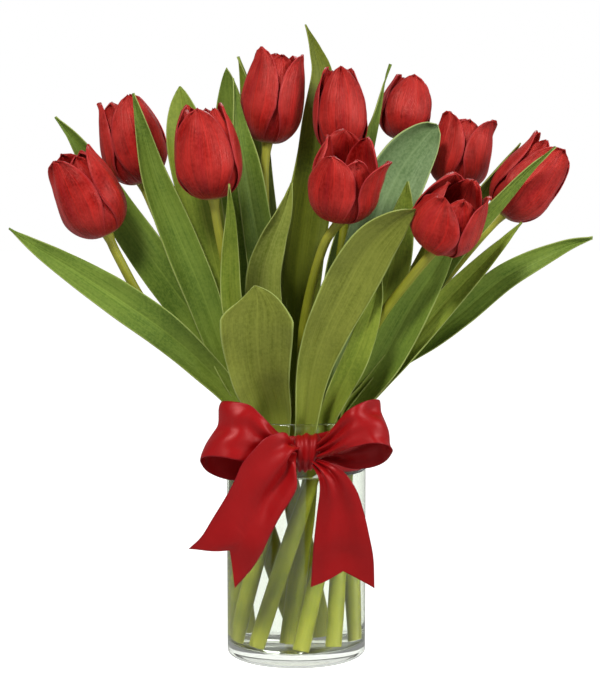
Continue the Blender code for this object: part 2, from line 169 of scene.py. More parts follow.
def clear_material(name, tint, ior, shade, gloss):
    """A see-through material; its shadow is a light tint, as real glass and water throw."""
    made, tree, shader = shader_tree(name)
    shader.inputs["Base Color"].default_value = tint
    shader.inputs["Transmission Weight"].default_value = 1.0
    shader.inputs["Roughness"].default_value = 0.0
    shader.inputs["IOR"].default_value = ior
    shader.inputs["Specular IOR Level"].default_value = gloss
    passing = add_node(tree, "ShaderNodeBsdfTransparent")
    passing.inputs["Color"].default_value = shade
    path = add_node(tree, "ShaderNodeLightPath")
    mix = add_node(tree, "ShaderNodeMixShader")
    tree.links.new(path.outputs["Is Shadow Ray"], mix.inputs["Fac"])
    tree.links.new(shader.outputs["BSDF"], mix.inputs[1])
    tree.links.new(passing.outputs["BSDF"], mix.inputs[2])
    tree.links.new(mix.outputs["Shader"], tree.nodes["Material Output"].inputs["Surface"])
    return made


def finish_piece(name, shape, finish, node_names, thickness=0.0, sharp=180):
    """Turns a bmesh into a smooth piece that rides on the vase's body and stands for its CAD nodes."""
    mesh = bpy.data.meshes.new(name)
    shape.to_mesh(mesh)
    shape.free()
    mesh.shade_smooth()
    if sharp < 180:
        mesh.set_sharp_from_angle(angle=math.radians(sharp))
    piece = bpy.data.objects.new(name, mesh)
    scene.collection.objects.link(piece)
    mesh.materials.append(finish)
    if thickness:
        wall = piece.modifiers.new("Thickness", "SOLIDIFY")
        wall.thickness = thickness
        wall.offset = 0.0
    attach(piece, "root")
    if node_names:
        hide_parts(*node_names)
    return piece


def turned(profile, steps):
    """A body of revolution about Z from a profile of (radius, height) that starts and ends on the axis."""
    shape = bmesh.new()
    points = [shape.verts.new((radius, 0, height)) for radius, height in profile]
    edges = [shape.edges.new(pair) for pair in zip(points, points[1:])]
    bmesh.ops.spin(shape, geom=points + edges, axis=(0, 0, 1), cent=(0, 0, 0), angle=math.tau, steps=steps,
                   use_merge=True)
    bmesh.ops.remove_doubles(shape, verts=shape.verts, dist=1e-6)
    bmesh.ops.recalc_face_normals(shape, faces=shape.faces)
    return shape


def quarter(centre, radius, start, end, steps=5):
    """Points on an arc of a profile, by angle in degrees."""
    turns = [math.radians(start + (end - start) * i / steps) for i in range(steps + 1)]
    return [(centre[0] + radius * math.cos(turn), centre[1] + radius * math.sin(turn)) for turn in turns]


def glass_profile():
    """The vase from under its foot, up the outside, over the lip and down to its floor.

    A ring close to each rounding keeps the shading of the straight walls straight.
    """
    lip_height = VASE_HEIGHT - LIP_ROUND
    hollow_height = VASE_FLOOR + HOLLOW_ROUND
    points = [(0, 0.0012), (0.020, 0.0011), (0.036, 0.0007), (0.041, 0)]
    points += quarter((VASE_RADIUS - FOOT_ROUND, FOOT_ROUND), FOOT_ROUND, -90, 0)
    points += [(VASE_RADIUS, FOOT_ROUND + RING_GAP), (VASE_RADIUS, lip_height - RING_GAP)]
    points += quarter((VASE_RADIUS - LIP_ROUND, lip_height), LIP_ROUND, 0, 90)
    points += quarter((VASE_INNER + LIP_ROUND, lip_height), LIP_ROUND, 90, 180)
    points += [(VASE_INNER, lip_height - RING_GAP), (VASE_INNER, hollow_height + RING_GAP)]
    points += quarter((VASE_INNER - HOLLOW_ROUND, hollow_height), HOLLOW_ROUND, 0, -90)
    return points + [(0.030, VASE_FLOOR - 0.0003), (0.014, VASE_FLOOR - 0.0007), (0, VASE_FLOOR - 0.0008)]


def water_profile():
    """The water, a hair wider than the vase's inside so that no air shows there, with a curled-up edge."""
    wet = VASE_INNER + WATER_BITE
    hollow_height = VASE_FLOOR + HOLLOW_ROUND
    points = [(0, VASE_FLOOR - 0.0010), (0.014, VASE_FLOOR - 0.0009), (0.030, VASE_FLOOR - 0.0005)]
    points += quarter((wet - HOLLOW_ROUND, hollow_height - WATER_BITE), HOLLOW_ROUND, -90, 0)
    points += [(wet, hollow_height + RING_GAP), (wet, WATER_LEVEL - RING_GAP)]
    points += [(wet, WATER_LEVEL + 0.0012), (wet - 0.0006, WATER_LEVEL + 0.0004)]
    return points + [(wet - 0.0022, WATER_LEVEL), (0.040, WATER_LEVEL), (0, WATER_LEVEL)]


clear_glass = clear_material("clear_glass", (0.93, 0.96, 0.93, 1), 1.5, (0.93, 0.95, 0.94, 1), 0.35)
finish_piece("vase_glass", turned(glass_profile(), GLASS_STEPS), clear_glass, ["vase"])
clear_water = clear_material("clear_water", (0.985, 0.990, 0.930, 1), 1.333, (0.97, 0.98, 0.94, 1), 0.1)
finish_piece("vase_water", turned(water_profile(), GLASS_STEPS), clear_water, ["water"], sharp=60)


# The stems: ten round, fleshy green stems that cross in the vase and fan out above it. They are pale under
# the blossom and at the cut foot and greener between, with fine lengthwise fibres and a waxy skin.
MM = 0.001
STEM_RADIUS = 0.0039
STEM_TOP = 0.82
STEM_FOOT = 1.45
SHEATH_LOW = 0.100
SHEATH_HIGH = 0.145
FOOT_HEIGHT = VASE_FLOOR + 0.0018
STEM_ROWS = 56
STEM_SIDES = 20
STEM_SWELL = 0.05
STEM_FLARE = 0.35
FLARE_FROM = 0.975
STEMS = {
    "stem_1": [(-22, 34, 0), (-41, -6, 178), (-82, -12, 232), (-106, -18, 254), (-124, -20, 286),
               (-132, -22, 304)],
    "stem_2": [(2, 36, 0), (-36, 10, 178), (-66, 14, 241), (-91, 17, 294), (-111, 20, 339)],
    "stem_3": [(-36, 14, 0), (-22, -17, 178), (-42, -26, 251), (-53, -34, 303), (-57, -36, 329)],
    "stem_4": [(12, 18, 0), (-10, 14, 178), (-20, 20, 269), (-23, 24, 337), (-21, 26, 368)],
    "stem_5": [(-4, -10, 0), (13, 2, 178), (28, 6, 263), (35, 12, 315), (32, 18, 360)],
    "stem_6": [(-37, -9, 0), (-1, -22, 178), (6, -34, 245), (18, -46, 294), (30, -53, 314)],
    "stem_7": [(36, -8, 0), (19, 24, 178), (36, 34, 246), (60, 47, 311), (76, 57, 371)],
    "stem_8": [(24, -27, 0), (31, 12, 178), (61, 20, 233), (94, 34, 290), (115, 43, 335)],
    "stem_9": [(-26, -28, 0), (25, -22, 178), (55, -40, 241), (78, -50, 274), (96, -57, 296)],
    "stem_10": [(3, -38, 0), (40, -8, 178), (88, -10, 248), (123, -6, 292), (146, -2, 317)],
}


def catmull(before, start, end, after, share):
    """The point that far between start and end on the smooth curve through all four."""
    bend = 2 * before - 5 * start + 4 * end - after
    twist = 3 * start - before - 3 * end + after
    return 0.5 * (2 * start + (end - before) * share + bend * share**2 + twist * share**3)


def smooth_route(points, count):
    """count + 1 evenly spaced points on the smooth curve through a route given in millimetres."""
    knots = [Vector(point) * MM for point in points]
    knots = [2 * knots[0] - knots[1], *knots, 2 * knots[-1] - knots[-2]]
    steps = 24
    dense = [catmull(*knots[i:i + 4], step / steps) for i in range(len(knots) - 3) for step in range(steps)]
    dense.append(knots[-2])
    reach = [0.0]
    for start, end in zip(dense, dense[1:]):
        reach.append(reach[-1] + (end - start).length)
    even = []
    place = 0
    for i in range(count + 1):
        want = reach[-1] * i / count
        while place < len(dense) - 2 and reach[place + 1] < want:
            place += 1
        share = (want - reach[place]) / (reach[place + 1] - reach[place])
        even.append(dense[place].lerp(dense[place + 1], share))
    return even


def direction(spine, i):
    """The unit tangent of a spine at one of its points."""
    return (spine[min(i + 1, len(spine) - 1)] - spine[max(i - 1, 0)]).normalized()


def swept_grid(rows, columns, place):
    """A sheet with a UV map. place(along, across) gives each point: along runs 0 to 1, across -1 to 1."""
    shape = bmesh.new()
    shape.loops.layers.uv.new("UVMap")
    bmesh.ops.create_grid(shape, x_segments=columns, y_segments=rows, size=1.0, calc_uvs=True)
    for vert in shape.verts:
        vert.co = place((vert.co.y + 1) / 2, vert.co.x)
    bmesh.ops.recalc_face_normals(shape, faces=shape.faces)
    return shape


def ramp(tree, source, stops):
    """A colour ramp fed by a socket; stops are (place, colour)."""
    node = add_node(tree, "ShaderNodeValToRGB")
    tree.links.new(source, node.inputs["Fac"])
    elements = node.color_ramp.elements
    while len(elements) < len(stops):
        elements.new(0.5)
    for element, (place, colour) in zip(elements, stops):
        element.position = place
        element.color = (*colour, 1)
    return node.outputs["Color"]


def blend_colours(tree, first, second, share):
    """Mixes two colours; each may be a socket or a colour, and share a socket or a number."""
    node = add_node(tree, "ShaderNodeMix", data_type="RGBA", blend_type="MIX")
    for label, value in (("Factor", share), ("A", first), ("B", second)):
        socket = node.inputs[label]
        if hasattr(value, "links"):
            tree.links.new(value, socket)
        elif socket.type == "RGBA":
            socket.default_value = (*value, 1)
        else:
            socket.default_value = value
    return node.outputs["Result"]


def mask(tree, source, start, end, first=0.0, last=1.0):
    """A grey that goes from first to last while a socket goes from start to end."""
    return ramp(tree, source, [(start, (first,) * 3), (end, (last,) * 3)])


def tinted(tree, base, colour, source, most):
    """A colour laid over base, where a mask is white and no stronger than most."""
    return blend_colours(tree, base, colour, maths(tree, "MULTIPLY", source, most))


def streaks(tree, across, along, detail=3.0, offset=0.0):
    """Noise drawn out along a blade's length, from its UV map."""
    place = add_node(tree, "ShaderNodeUVMap", uv_map="UVMap")
    stretch = add_node(tree, "ShaderNodeMapping")
    stretch.inputs["Scale"].default_value = (across, along, 1)
    stretch.inputs["Location"].default_value = (offset, offset * 0.7, offset * 1.3)
    tree.links.new(place.outputs["UV"], stretch.inputs["Vector"])
    grain = add_node(tree, "ShaderNodeTexNoise")
    grain.inputs["Scale"].default_value = 1.0
    grain.inputs["Detail"].default_value = detail
    grain.inputs["Roughness"].default_value = 0.6
    tree.links.new(stretch.outputs["Vector"], grain.inputs["Vector"])
    return grain.outputs["Fac"]


def uv_parts(tree):
    """The across and along sockets of a blade's UV map, both from 0 to 1."""
    place = add_node(tree, "ShaderNodeUVMap", uv_map="UVMap")
    parts = add_node(tree, "ShaderNodeSeparateXYZ")
    tree.links.new(place.outputs["UV"], parts.inputs["Vector"])
    return parts.outputs["X"], parts.outputs["Y"]


def blotches(tree, scale, detail=4.0):
    """Uneven patches in the piece's own space."""
    place = add_node(tree, "ShaderNodeTexCoord")
    grain = add_node(tree, "ShaderNodeTexNoise")
    grain.inputs["Scale"].default_value = scale
    grain.inputs["Detail"].default_value = detail
    tree.links.new(place.outputs["Object"], grain.inputs["Vector"])
    return grain.outputs["Fac"]


def raise_surface(tree, shader, height, distance, strength):
    bump = add_node(tree, "ShaderNodeBump")
    bump.inputs["Strength"].default_value = strength
    bump.inputs["Distance"].default_value = distance
    tree.links.new(height, bump.inputs["Height"])
    tree.links.new(bump.outputs["Normal"], shader.inputs["Normal"])


def stem_material():
    made, tree, shader = shader_tree("stem_skin")
    across, along = uv_parts(tree)
    length_colour = ramp(tree, along, [(0.0, (0.44, 0.40, 0.055)), (0.05, (0.31, 0.30, 0.014)),
                                       (0.50, (0.19, 0.21, 0.008)), (0.85, (0.32, 0.31, 0.020)),
                                       (1.0, (0.46, 0.42, 0.07))])
    fibres = streaks(tree, 26, 5)
    patches = mask(tree, blotches(tree, 60), 0.35, 0.7)
    skin = tinted(tree, length_colour, (0.08, 0.13, 0.004), fibres, 0.9)
    skin = tinted(tree, skin, (0.45, 0.44, 0.04), patches, 0.3)
    tree.links.new(skin, shader.inputs["Base Color"])
    tree.links.new(mask(tree, fibres, 0.3, 0.8, 0.32, 0.5), shader.inputs["Roughness"])
    shader.inputs["Specular IOR Level"].default_value = 0.25
    shader.inputs["Subsurface Weight"].default_value = 0.12
    shader.inputs["Subsurface Radius"].default_value = (0.004, 0.005, 0.001)
    raise_surface(tree, shader, fibres, 0.0004, 0.5)
    return made


def stem_radius(along, height):
    """Thick where leaf bases still sheathe the stem, thinner towards the top, and flared at its end."""
    bare = min(1.0, max(0.0, (height - SHEATH_LOW) / (SHEATH_HIGH - SHEATH_LOW)))
    radius = STEM_RADIUS * (STEM_FOOT + (1 - STEM_FOOT) * bare)
    radius *= 1 + (STEM_TOP - 1) * along
    return radius * (1 + STEM_FLARE * max(0.0, (along - FLARE_FROM) / (1 - FLARE_FROM)) ** 2)


def stem_shape(points):
    """A round stem along its route, with soft swellings, a cut foot and a flared top."""
    foot_point, *above = points
    spine = smooth_route([(foot_point[0], foot_point[1], FOOT_HEIGHT / MM), *above], STEM_ROWS)
    sideways = Vector((0.3, 1, 0)).normalized()

    def place(along, across):
        row = round(along * STEM_ROWS)
        ahead = direction(spine, row)
        side = ahead.cross(sideways).normalized()
        out = side.cross(ahead)
        turn = across * math.pi
        swell = 1 + STEM_SWELL * noise.noise(Vector((foot_point[0], foot_point[1], along * 9)))
        radius = stem_radius(along, spine[row].z) * swell
        return spine[row] + (side * math.cos(turn) + out * math.sin(turn)) * radius

    shape = swept_grid(STEM_ROWS, STEM_SIDES, place)
    bmesh.ops.remove_doubles(shape, verts=shape.verts, dist=1e-6)
    bmesh.ops.holes_fill(shape, edges=[edge for edge in shape.edges if edge.is_boundary], sides=0)
    bmesh.ops.recalc_face_normals(shape, faces=shape.faces)
    return shape


stem_skin = stem_material()
for stem_name, stem_points in STEMS.items():
    finish_piece(f"{stem_name}_skin", stem_shape(stem_points), stem_skin, [stem_name], sharp=50)


# The leaves: long, pointed, slightly channelled blades with a waxy bloom, fine veins from end to end and a
# thin pale edge. Each grows from its stem inside the vase's mouth and leans out in its own way.
LEAF_ROWS = 72
LEAF_COLUMNS = 16
LEAF_THICK = 0.0007
LEAF_CURL = 0.60
LEAF_CURL_AT_BASE = 1.5
LEAF_PULLED_IN = 0.4
LEAF_CHANNEL = 0.35
LEAF_RIPPLE = 0.0050
LEAF_SWAY = 0.0015
KEEL_DEPTH = 0.0012
KEEL_WIDTH = 0.12
FRONT = (0, -1, 0)


def leaf_material(name, main, light, dark, edge=(0.34, 0.41, 0.11)):
    """A green blade: main colour, lighter and darker streaks along the veins, patches of painted shade, and
    a pale edge and rib.
    """
    made, tree, shader = shader_tree(name)
    across, along = uv_parts(tree)
    off_centre = maths(tree, "ABSOLUTE", maths(tree, "SUBTRACT", across, 0.5))
    fine = streaks(tree, 42, 2.2, 2.0)
    bands = mask(tree, streaks(tree, 9, 1.2, 2.0, 3.1), 0.35, 0.68)
    veins = mask(tree, fine, 0.38, 0.62)
    hairs = mask(tree, streaks(tree, 110, 3.0, 1.0, 9.0), 0.42, 0.6)
    # shade: large dark patches laid over the blade, painted shade.
    shade = mask(tree, blotches(tree, 16, 3.0), 0.42, 0.62)
    speckle = mask(tree, blotches(tree, 520, 2.0), 0.4, 0.62)
    root = mask(tree, along, 0.0, 0.42, 1.0, 0.0)
    bloom = mask(tree, blotches(tree, 38), 0.4, 0.7)
    rib = mask(tree, off_centre, 0.0, 0.035, 1.0, 0.0)
    rim = mask(tree, off_centre, 0.475, 0.492)
    green = tinted(tree, main, light, bands, 0.8)
    green = tinted(tree, green, dark, veins, 0.42)
    green = tinted(tree, green, light, hairs, 0.3)
    green = tinted(tree, green, dark, shade, 0.5)
    green = tinted(tree, green, light, speckle, 0.32)
    green = tinted(tree, green, (0.27, 0.33, 0.04), root, 0.8)
    green = tinted(tree, green, light, bloom, 0.28)
    green = tinted(tree, green, light, rib, 0.5)
    green = tinted(tree, green, edge, rim, 0.85)
    tree.links.new(green, shader.inputs["Base Color"])
    tree.links.new(mask(tree, fine, 0.3, 0.75, 0.40, 0.58), shader.inputs["Roughness"])
    shader.inputs["Specular IOR Level"].default_value = 0.3
    shader.inputs["Specular Tint"].default_value = (0.85, 1.0, 0.7, 1)
    shader.inputs["Sheen Weight"].default_value = 0.04
    shader.inputs["Sheen Roughness"].default_value = 0.5
    raise_surface(tree, shader, fine, 0.0005, 0.6)
    return made


LEAF_TONES = {
    "green": leaf_material("leaf_green", (0.095, 0.170, 0.014), (0.22, 0.31, 0.045), (0.030, 0.078, 0.004)),
    "fresh": leaf_material("leaf_fresh", (0.15, 0.225, 0.014), (0.30, 0.36, 0.045), (0.055, 0.110, 0.005)),
    "blue": leaf_material("leaf_blue", (0.115, 0.20, 0.070), (0.23, 0.33, 0.15), (0.045, 0.10, 0.025),
                          (0.36, 0.45, 0.17)),
    "olive": leaf_material("leaf_olive", (0.16, 0.185, 0.018), (0.28, 0.31, 0.05), (0.070, 0.090, 0.006)),
    # The dark tone is a darker copy of the green: painted shade for the leaf deep in the bunch.
    "dark": leaf_material("leaf_dark_painted_shade", (0.105, 0.135, 0.008), (0.20, 0.23, 0.020), (0.030, 0.052, 0.002),
                          (0.26, 0.31, 0.05)),
    "pale": leaf_material("leaf_pale", (0.22, 0.27, 0.030), (0.38, 0.42, 0.09), (0.090, 0.135, 0.008)),
}

# Each leaf: its route from base to tip in millimetres, its greatest width, the way its face looks at the
# base and at the tip, and its tone.
LEAVES = {
    "leaf_1": ([(-33, -15, 150), (-38, -19, 178), (-64, -19, 209), (-92, -25, 236), (-123, -29, 258),
                (-152, -31, 277), (-178, -32, 293), (-199, -33, 308)],
               27, (-0.3, -1, 0.2), (-0.2, -1, 0.5), "green"),
    "leaf_2": ([(-34, 9, 150), (-41, 5, 178), (-58, 5, 216), (-76, 5, 245), (-103, 5, 283),
                (-124, 10, 313), (-143, 10, 345), (-158, 6, 369), (-171, 2, 385)],
               29, (-0.4, -1, 0), (0.3, -1, 0.2), "green"),
    "leaf_3": ([(-28, -5, 150), (-32, -12, 178), (-53, -14, 224), (-67, -13, 263), (-81, -10, 297),
                (-99, -6, 341), (-108, -4, 376), (-114, -4, 402)],
               26, (-0.3, -1, 0), (0.3, -1, 0), "green"),
    "leaf_4": ([(-23, 1, 150), (-26, -4, 178), (-44, -4, 228), (-57, -3, 277), (-66, -2, 316),
                (-75, 0, 362), (-80, 2, 390), (-82, 4, 407)],
               32, (-0.3, -1, 0), FRONT, "fresh"),
    "leaf_5": ([(-15, 22, 150), (-21, 24, 178), (-33, 36, 262), (-40, 42, 327), (-45, 44, 369),
                (-49, 45, 405), (-51, 45, 422)],
               33, (-0.6, -1, 0), (-0.4, -1, 0), "green"),
    "leaf_6": ([(-12, 5, 150), (-14, 3, 178), (-21, 6, 235), (-25, 8, 287), (-33, 9, 333),
                (-40, 10, 373), (-45, 10, 413)],
               25, (0.3, -1, 0), (0.6, -1, 0), "green"),
    "leaf_7": ([(-5, 28, 150), (-12, 30, 178), (-20, 45, 290), (-28, 55, 356), (-36, 57, 409),
                (-42, 57, 431)],
               29, (-0.5, -1, 0), (-1, -1, 0), "fresh"),
    "leaf_8": ([(-28, -24, 150), (-32, -28, 178), (-39, -32, 223), (-45, -36, 258), (-46, -41, 287),
                (-45, -50, 314), (-45, -58, 339)],
               15, FRONT, FRONT, "fresh"),
    "leaf_9": ([(-13, -3, 150), (-14, -5, 178), (-21, -8, 236), (-23, -9, 271), (-17, -10, 296),
                (-9, -10, 317), (-3, -8, 339)],
               27, FRONT, (0.2, -1, 0.2), "pale"),
    "leaf_10": ([(-16, -27, 150), (-17, -29, 176), (-25, -46, 208), (-27, -57, 238), (-27, -61, 258),
                 (-29, -62, 270)],
                50, FRONT, FRONT, "olive"),
    # Its dark tone is painted shade, as it stands deep in the bunch.
    "leaf_11": ([(7, 26, 150), (1, 30, 178), (0, 34, 254), (7, 40, 312), (15, 46, 362), (19, 52, 413),
                 (14, 54, 435), (7, 54, 454)],
                38, (0.4, -1, 0), (0.6, -1, 0), "dark"),
    "leaf_12": ([(13, 10, 150), (12, 14, 178), (28, 22, 262), (42, 32, 326), (55, 38, 377),
                 (63, 42, 405), (70, 42, 424)],
                33, (0.5, -1, 0), (1, -1, 0), "green"),
    "leaf_13": ([(24, 27, 150), (22, 36, 178), (46, 59, 258), (66, 75, 324), (84, 81, 362),
                 (82, 84, 384), (72, 86, 403)],
                33, (0.8, -1, 0), (0.7, -1, 0), "blue"),
    "leaf_14": ([(18, -8, 150), (22, -5, 178), (36, -7, 241), (54, -2, 298), (66, 4, 330), (78, 10, 352),
                 (92, 14, 370), (101, 14, 380)],
                42, FRONT, (0.5, -1, 0.6), "blue"),
    "leaf_15": ([(4, -38, 150), (10, -45, 204), (20, -52, 236), (35, -60, 269), (49, -66, 296),
                 (66, -72, 313), (80, -76, 322)],
                37, FRONT, (0.2, -1, -0.4), "olive"),
    "leaf_16": ([(18, -34, 150), (22, -34, 176), (31, -43, 199), (44, -48, 228), (54, -49, 259),
                 (58, -48, 281)],
                19, FRONT, FRONT, "fresh"),
    "leaf_17": ([(28, -23, 150), (36, -18, 178), (45, -18, 191), (62, -24, 219), (80, -29, 251),
                 (100, -34, 285), (112, -38, 308)],
                29, FRONT, FRONT, "green"),
    "leaf_18": ([(23, -14, 150), (29, -12, 178), (84, -16, 249), (113, -18, 292), (141, -28, 325),
                 (161, -32, 348), (179, -34, 364)],
                15, FRONT, FRONT, "green"),
    "leaf_19": ([(38, 1, 150), (40, 6, 178), (82, 9, 252), (115, 13, 306), (136, 14, 334),
                 (151, 16, 354), (161, 16, 367)],
                20, (0.4, -1, 0), (0.9, -1, 0), "fresh"),
    "leaf_20": ([(36, -5, 150), (41, 0, 178), (64, 2, 207), (96, 0, 230), (117, -3, 247), (149, -3, 273),
                 (188, -4, 293), (210, -4, 300)],
                20, FRONT, (0, -1, 0.4), "green"),
    "leaf_22": ([(20, -11, 150), (21, -9.5, 178), (38, -10, 205), (54, -12, 238), (64, -13, 263),
                 (73, -14, 304), (77, -14, 326), (79, -14, 340)],
                24, FRONT, FRONT, "fresh"),
    "leaf_21": ([(33, -19, 150), (39, -15, 178), (52, -15, 193), (77, -20, 223), (107, -23, 258),
                 (137, -25, 290), (157, -26, 312)],
                19, FRONT, (0, -1, 0.3), "fresh"),
}
# The width in millimetres at the base, how far along the leaf is widest, how blunt its tip is, and how late
# it narrows: the plain value first, and then the leaves that differ from it.
LEAF_BASE_PLAIN = 17
LEAF_BASE = {"leaf_5": 22, "leaf_6": 26, "leaf_7": 24, "leaf_8": 9, "leaf_9": 22, "leaf_10": 30,
             "leaf_11": 28, "leaf_12": 22, "leaf_13": 24, "leaf_15": 19, "leaf_16": 14, "leaf_22": 10}
LEAF_PEAK_PLAIN = 0.48
LEAF_PEAK = {"leaf_4": 0.78, "leaf_5": 0.62, "leaf_7": 0.6, "leaf_10": 0.82, "leaf_12": 0.34,
             "leaf_14": 0.74, "leaf_15": 0.68, "leaf_19": 0.66, "leaf_20": 0.62, "leaf_22": 0.7}
LEAF_BLUNT_PLAIN = 1.0
LEAF_BLUNT = {"leaf_4": 0.8, "leaf_5": 0.7, "leaf_10": 0.9, "leaf_12": 1.6, "leaf_14": 0.55, "leaf_15": 0.8}
LEAF_FALL_PLAIN = 2.2
LEAF_FALL = {"leaf_10": 1.3}


def leaf_width(along, base, widest, peak, blunt, fall_power):
    """A leaf's half width: it widens from the base to the peak and narrows to a pointed or blunt tip."""
    if along < peak:
        rise = along / peak
        return (base + (widest - base) * rise * rise * (3 - 2 * rise)) / 2
    fall = (along - peak) / (1 - peak)
    return widest * (1 - fall**fall_power) ** blunt / 2


def leaf_shape(name, route, widest, face_base, face_tip):
    """A blade along its route: curled into a channel at the base, flatter and rippled further out."""
    spine = smooth_route(route, LEAF_ROWS)
    seed = Vector((widest * 0.37, route[0][0] * 0.21, route[-1][2] * 0.013))
    base = LEAF_BASE.get(name, LEAF_BASE_PLAIN) * MM
    peak = LEAF_PEAK.get(name, LEAF_PEAK_PLAIN)
    blunt = LEAF_BLUNT.get(name, LEAF_BLUNT_PLAIN)
    fall_power = LEAF_FALL.get(name, LEAF_FALL_PLAIN)

    def place(along, across):
        row = round(along * LEAF_ROWS)
        near_base = (1 - along) ** 3
        ahead = direction(spine, row)
        face = Vector(face_base).lerp(Vector(face_tip), along)
        face = (face - ahead * face.dot(ahead)).normalized()
        half = max(leaf_width(along, base, widest * MM, peak, blunt, fall_power), 0.0004)
        curl = LEAF_CURL_AT_BASE * near_base + LEAF_CURL
        wide = half * math.sin(curl * across) / math.sin(curl) * (1 - LEAF_PULLED_IN * near_base)
        channel = half * (1 - math.cos(curl * across) - LEAF_CHANNEL * (1 - math.cos(curl))) / curl
        ripple = noise.noise(seed + Vector((across * 0.8, 0, along * 6))) * across * across * LEAF_RIPPLE
        keel = KEEL_DEPTH * math.exp(-((across / KEEL_WIDTH) ** 2)) * (1 - 0.6 * along)
        sway = noise.noise(seed + Vector((5, 5, along * 3))) * LEAF_SWAY
        return spine[row] + ahead.cross(face) * (wide + sway) + face * (channel + ripple - keel)

    return swept_grid(LEAF_ROWS, LEAF_COLUMNS, place)


for leaf_name, (route, widest, face_base, face_tip, tone) in LEAVES.items():
    blade = leaf_shape(leaf_name, route, widest, face_base, face_tip)
    finish_piece(f"{leaf_name}_blade", blade, LEAF_TONES[tone], [leaf_name], thickness=LEAF_THICK)


# The blossoms: three inner and three outer petals each, deep red with a satin sheen, fine veins, a paler
# edge that is partly painted highlight, painted shade low down and a straw-coloured foot. Eight are still
# shut, two have opened and show their dark inside.
PETAL_ROWS = 28
PETAL_COLUMNS = 18
PETAL_THICK = 0.0007
PETAL_INSET = 0.0012
PETAL_LAYER = 0.0010
OPEN_LAYER = 0.0011
INNER_SHORTER = 0.045
INNER_TIGHTER = 0.06
OUTER_HALF_ANGLE = 1.02
INNER_HALF_ANGLE = 0.9
BELLY_AT = 0.42
BELLY_RISE = 0.36
PETAL_TIP = 0.55
CROWN_FLARE = 0.0016
CROWN_FROM = 0.86


def petal_material():
    made, tree, shader = shader_tree("petal_red")
    across, along = uv_parts(tree)
    off_centre = maths(tree, "ABSOLUTE", maths(tree, "SUBTRACT", across, 0.5))
    fine = streaks(tree, 34, 1.6, 3.0)
    broad = streaks(tree, 6, 1.1, 2.0, 1.7)
    bands = mask(tree, broad, 0.35, 0.7)
    veins = mask(tree, fine, 0.35, 0.65)
    cloud = mask(tree, blotches(tree, 55, 2.0), 0.35, 0.65)
    speckle = mask(tree, blotches(tree, 480, 2.0), 0.4, 0.62)
    rib = mask(tree, off_centre, 0.0, 0.06, 1.0, 0.0)
    # rim: a paler edge, partly the petal's own colour and partly painted highlight.
    rim = mask(tree, off_centre, 0.455, 0.497)
    straw = ramp(tree, along, [(0.0, (1, 1, 1)), (0.045, (0.7, 0.7, 0.7)), (0.11, (0, 0, 0))])
    # tuck: darker from the petal's foot up to its belly, painted shade under the blossom.
    tuck = mask(tree, along, 0.05, 0.45, 1.0, 0.0)
    red = blend_colours(tree, (0.23, 0.001, 0.001), (0.52, 0.012, 0.008), bands)
    red = tinted(tree, red, (0.09, 0.0005, 0.0005), veins, 0.62)
    red = tinted(tree, red, (0.62, 0.045, 0.036), cloud, 0.45)
    red = tinted(tree, red, (0.60, 0.040, 0.034), speckle, 0.25)
    red = tinted(tree, red, (0.38, 0.010, 0.016), rib, 0.35)
    red = tinted(tree, red, (0.50, 0.045, 0.05), rim, 0.6)
    red = blend_colours(tree, red, (0.62, 0.50, 0.22), straw)
    red = tinted(tree, red, (0.09, 0.001, 0.001), tuck, 0.45)
    tree.links.new(red, shader.inputs["Base Color"])
    tree.links.new(mask(tree, fine, 0.3, 0.75, 0.34, 0.5), shader.inputs["Roughness"])
    shader.inputs["Specular IOR Level"].default_value = 0.40
    shader.inputs["Specular Tint"].default_value = (1.0, 0.45, 0.40, 1)
    shader.inputs["Sheen Weight"].default_value = 0.04
    shader.inputs["Sheen Roughness"].default_value = 0.4
    shader.inputs["Sheen Tint"].default_value = (1.0, 0.45, 0.40, 1)
    raise_surface(tree, shader, maths(tree, "ADD", fine, broad), 0.0009, 0.8)
    return made


def petal_outline(along, length, radius, shut, lean, reach):
    """How far out and how high a petal's middle line is, from the foot round the belly to the tip."""
    if along < BELLY_AT:
        angle = math.pi / 2 * along / BELLY_AT
        return radius * (0.17 + 0.83 * math.sin(angle)), length * BELLY_RISE * (1 - math.cos(angle))
    past = (along - BELLY_AT) / (1 - BELLY_AT)
    out = radius * (1 - shut * past**2 + lean * past**1.6)
    height = length * (BELLY_RISE + (reach - BELLY_RISE) * past * (1 - 0.12 * max(0.0, lean) * past))
    return out, height


def petal_spread(along, half_angle, shut):
    """Half the angle that a petal takes up about the blossom's axis."""
    narrow = max(0.0, 1 - max(0.0, (along - 0.5) / 0.5) ** 2.4) ** PETAL_TIP
    spread = half_angle * min(1.0, 0.52 + 1.1 * along) * max(narrow, 0.03)
    return spread * (1 + 0.35 * shut * max(0.0, along - BELLY_AT))


def petal_phase(seed):
    """Each petal's own place in the noise that folds it."""
    return Vector((seed, seed * 0.37, seed * 1.9))


def petal_relief(along, across, radius, layer, seed):
    """How far out a petal's surface lies from its outline: its layer, its groove, its folds and its tip."""
    phase = petal_phase(seed)
    edge = across * across
    lift = layer * min(1.0, 3 * along)
    lift += max(0.0, layer) * 0.9 * edge * edge * math.sin(math.pi * along)
    lift -= radius * 0.04 * math.exp(-((across / 0.13) ** 2)) * min(1.0, 2 * along)
    lift += radius * 0.14 * noise.noise(phase + Vector((across * 1.5, 0, along * 2.2))) * along
    lift += radius * 0.10 * noise.noise(phase + Vector((across * 3, 4, along * 4))) * edge * along
    lift += radius * 0.035 * math.cos(across * 7 + seed) * along * along
    return lift + CROWN_FLARE * max(0.0, (along - CROWN_FROM) / (1 - CROWN_FROM)) ** 2


